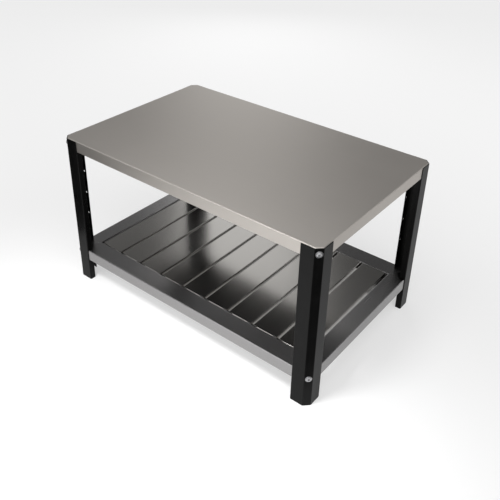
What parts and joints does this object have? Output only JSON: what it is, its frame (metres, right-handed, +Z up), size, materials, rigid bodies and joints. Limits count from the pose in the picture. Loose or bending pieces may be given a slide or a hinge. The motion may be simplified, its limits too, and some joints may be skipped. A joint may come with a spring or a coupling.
{
  "type": "grill stand",
  "caption": "Low grill stand: flat steel work top with a folded skirt over an open bay and a slatted shelf, held by folded black corner legs.",
  "frame": {"origin": "middle of the rectangle over the legs, on the floor", "axes": "+X along the length to the right, +Y from the front to the back, +Z up"},
  "size_m": [1, 0.63, 0.55],
  "materials": {
    "work_top_steel": "satin stainless sheet, fine lengthwise grain",
    "shelf_steel": "satin stainless sheet, grain along each rail",
    "slat_steel": "satin stainless sheet, grain along the slat",
    "inner_steel": "plain mill-finish sheet",
    "leg_paint": "satin black powder coat",
    "bolt_zinc": "bright zinc plating"
  },
  "bodies": {
    "root": {"top_panel": "work_top_steel", "top_stiffener_left": "inner_steel", "top_stiffener_middle": "inner_steel", "top_stiffener_right": "inner_steel", "top_bracket_front_left": "inner_steel", "top_bracket_front_right": "inner_steel", "top_bracket_back_right": "inner_steel", "top_bracket_back_left": "inner_steel", "leg_front_left": "leg_paint", "leg_front_right": "leg_paint", "leg_back_right": "leg_paint", "leg_back_left": "leg_paint", "shelf_rail_front": "shelf_steel", "shelf_rail_back": "shelf_steel", "shelf_rail_left": "shelf_steel", "shelf_rail_right": "shelf_steel", "shelf_bracket_front_left": "inner_steel", "shelf_bracket_front_right": "inner_steel", "shelf_bracket_back_right": "inner_steel", "shelf_bracket_back_left": "inner_steel", "slat_1": "slat_steel", "slat_2": "slat_steel", "slat_3": "slat_steel", "slat_4": "slat_steel", "slat_5": "slat_steel", "slat_6": "slat_steel", "slat_7": "slat_steel", "slat_8": "slat_steel", "slat_9": "slat_steel", "bolts_top": "bolt_zinc", "bolts_shelf": "bolt_zinc", "nuts_top": "bolt_zinc", "nuts_shelf": "bolt_zinc"}
  },
  "joints": []
}
